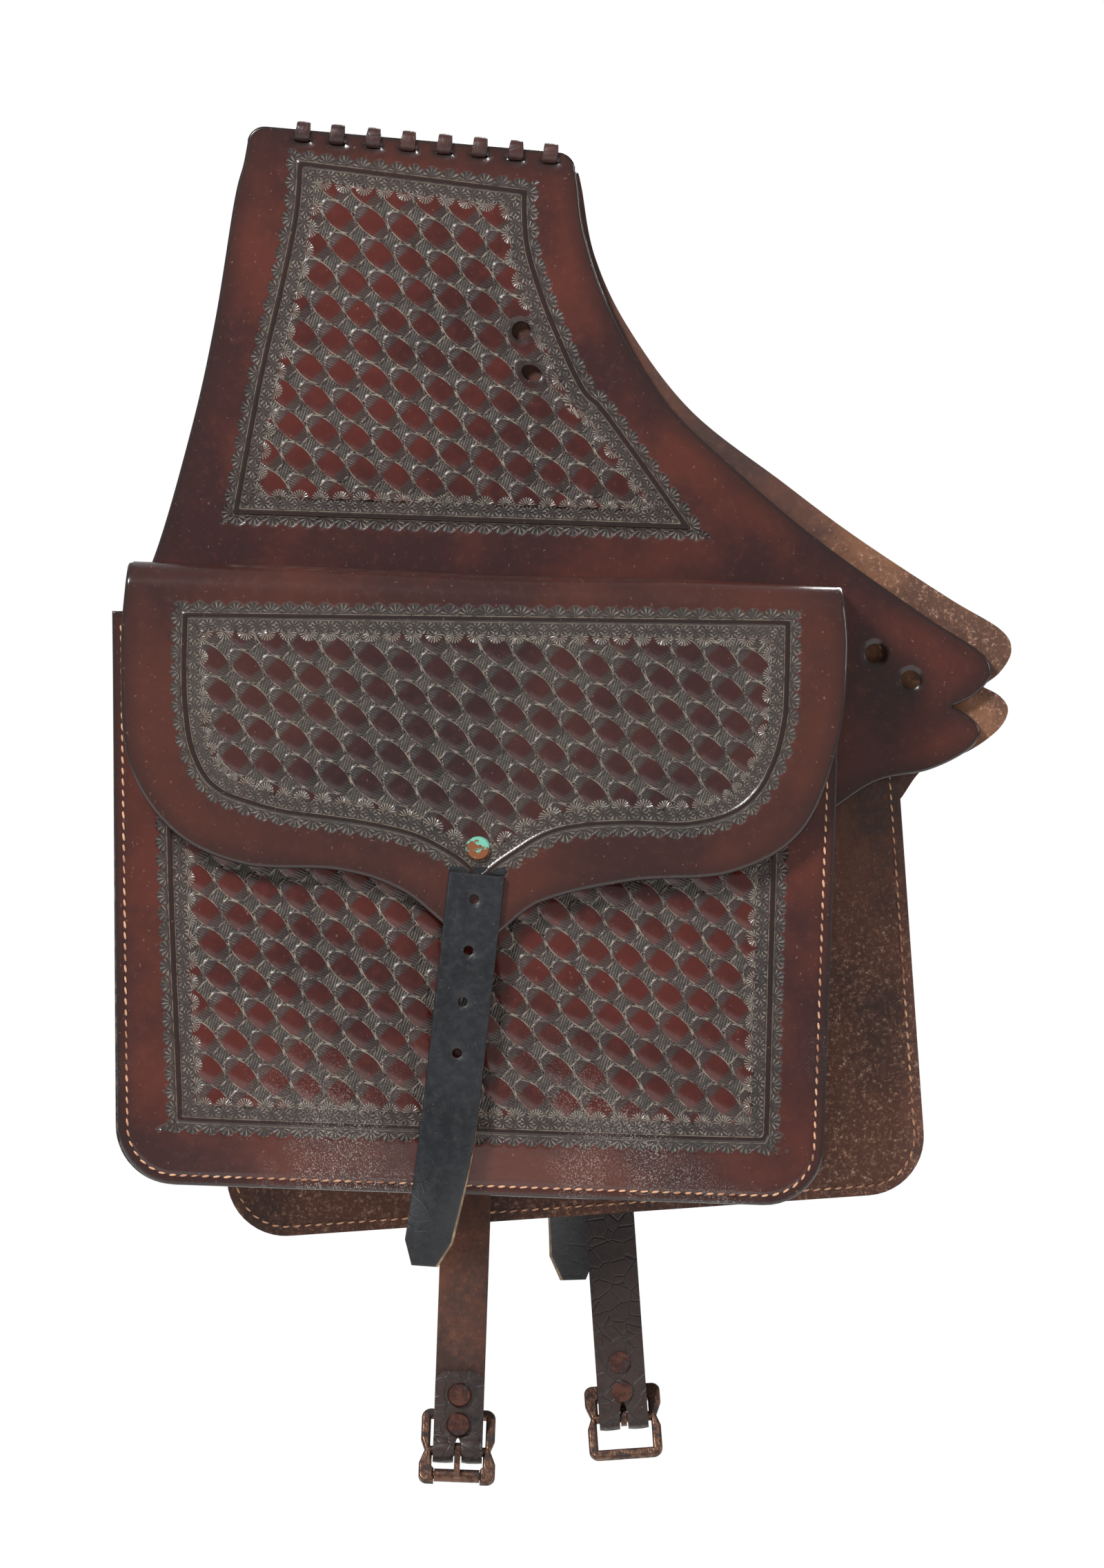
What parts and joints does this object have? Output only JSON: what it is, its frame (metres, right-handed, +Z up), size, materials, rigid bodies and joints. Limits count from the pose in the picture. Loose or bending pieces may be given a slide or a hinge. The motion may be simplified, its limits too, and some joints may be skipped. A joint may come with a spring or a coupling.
{
  "type": "pair of leather saddlebags",
  "caption": "Pair of tooled leather saddlebags on a laced yoke, each with a swinging flap, flap strap, gusseted bag and a billet with roller buckle.",
  "frame": {"origin": "middle of the laced fold that the pair hangs by", "axes": "+Z up, +X along the bags' width to the eared side, +Y from the near bag to the off bag"},
  "size_m": [0.365, 0.1152, 0.5552],
  "materials": {
    "tooled_saddle_leather": "semi-gloss, tooled",
    "gusset_leather": "satin",
    "burnished_edge_leather": "burnished",
    "seam_thread": "waxed thread",
    "billet_leather": "satin",
    "black_strap_leather": "satin",
    "lace_leather": "satin",
    "aged_copper": "aged",
    "aged_bronze": "aged"
  },
  "bodies": {
    "off_half": {"off_yoke_back": "tooled_saddle_leather", "off_gusset": "gusset_leather", "off_welt": "burnished_edge_leather", "off_front_panel": "tooled_saddle_leather", "off_front_stitching": "seam_thread", "off_back_stitching": "seam_thread", "off_flap_leg": "tooled_saddle_leather", "off_flap_leg_stitching": "seam_thread", "off_corner_rivets": "aged_copper", "off_billet_anchor": "billet_leather", "off_anchor_rivets": "aged_copper", "yoke_lacing": "lace_leather"},
    "near_half": {"near_yoke_back": "tooled_saddle_leather", "near_gusset": "gusset_leather", "near_welt": "burnished_edge_leather", "near_front_panel": "tooled_saddle_leather", "near_front_stitching": "seam_thread", "near_back_stitching": "seam_thread", "near_flap_leg": "tooled_saddle_leather", "near_flap_leg_stitching": "seam_thread", "near_corner_rivets": "aged_copper", "near_billet_anchor": "billet_leather", "near_anchor_rivets": "aged_copper"},
    "near_flap": {"near_flap": "tooled_saddle_leather", "near_strap_tail": "black_strap_leather", "near_strap_rivet": "aged_copper"},
    "near_flap_strap": {"near_flap_strap": "black_strap_leather"},
    "near_billet": {"near_billet": "billet_leather", "near_billet_rivets": "aged_copper"},
    "near_buckle": {"near_buckle_frame": "aged_bronze"},
    "near_buckle_tongue": {"near_buckle_tongue": "aged_bronze"},
    "near_buckle_roller": {"near_buckle_roller": "aged_bronze"},
    "off_flap": {"off_flap": "tooled_saddle_leather", "off_strap_tail": "black_strap_leather", "off_strap_rivet": "aged_copper"},
    "off_flap_strap": {"off_flap_strap": "black_strap_leather"},
    "off_billet": {"off_billet": "billet_leather", "off_billet_rivets": "aged_copper"},
    "off_buckle": {"off_buckle_frame": "aged_bronze"},
    "off_buckle_tongue": {"off_buckle_tongue": "aged_bronze"},
    "off_buckle_roller": {"off_buckle_roller": "aged_bronze"}
  },
  "joints": [
    {"name": "yoke_fold", "type": "hinge", "parent": "off_half", "child": "near_half", "pos_m": [0, 0, 0], "axis": [-0.9962, 0, 0.0872], "range_deg": [0, 180], "deforming": ["yoke_lacing"]},
    {"name": "near_flap_open", "type": "hinge", "parent": "near_half", "child": "near_flap", "pos_m": [0.0288, -0.00855, -0.17811], "axis": [-0.9994, 0, 0.0349], "range_deg": [0, 75]},
    {"name": "near_strap_lift", "type": "hinge", "parent": "near_flap", "child": "near_flap_strap", "pos_m": [0.0255, -0.0548, -0.29857], "axis": [-0.9994, 0, 0.0349], "range_deg": [0, 90]},
    {"name": "near_billet_swing", "type": "hinge", "parent": "near_half", "child": "near_billet", "pos_m": [0.02091, -0.017, -0.42994], "axis": [-0.9994, 0, 0.0349], "range_deg": [0, 40]},
    {"name": "near_buckle_swing", "type": "hinge", "parent": "near_billet", "child": "near_buckle", "pos_m": [0.01725, -0.01906, -0.53473], "axis": [-0.9994, 0, 0.0349], "range_deg": [0, 45]},
    {"name": "near_tongue_swing", "type": "hinge", "parent": "near_buckle", "child": "near_buckle_tongue", "pos_m": [0.01725, -0.01906, -0.53473], "axis": [-0.9994, 0, 0.0349], "range_deg": [0, 35]},
    {"name": "near_roller_spin", "type": "hinge", "parent": "near_buckle", "child": "near_buckle_roller", "pos_m": [0.01692, -0.02456, -0.54425], "axis": [0.9994, 0, -0.0349], "continuous": true},
    {"name": "off_flap_open", "type": "hinge", "parent": "off_half", "child": "off_flap", "pos_m": [0.04726, 0.00855, -0.18913], "axis": [0.9976, 0, 0.0698], "range_deg": [0, 75]},
    {"name": "off_strap_lift", "type": "hinge", "parent": "off_flap", "child": "off_flap_strap", "pos_m": [0.05657, 0.0548, -0.30927], "axis": [0.9976, 0, 0.0698], "range_deg": [0, 90]},
    {"name": "off_billet_swing", "type": "hinge", "parent": "off_half", "child": "off_billet", "pos_m": [0.0791, 0.017, -0.43947], "axis": [0.9976, 0, 0.0698], "range_deg": [0, 40]},
    {"name": "off_buckle_swing", "type": "hinge", "parent": "off_billet", "child": "off_buckle", "pos_m": [0.08497, 0.01906, -0.52341], "axis": [0.9976, 0, 0.0698], "range_deg": [-120, 0]},
    {"name": "off_tongue_swing", "type": "hinge", "parent": "off_buckle", "child": "off_buckle_tongue", "pos_m": [0.08497, 0.01906, -0.52341], "axis": [-0.9976, 0, -0.0698], "range_deg": [0, 110]},
    {"name": "off_roller_spin", "type": "hinge", "parent": "off_buckle", "child": "off_buckle_roller", "pos_m": [0.08431, 0.02456, -0.51391], "axis": [0.9976, 0, 0.0698], "continuous": true}
  ]
}
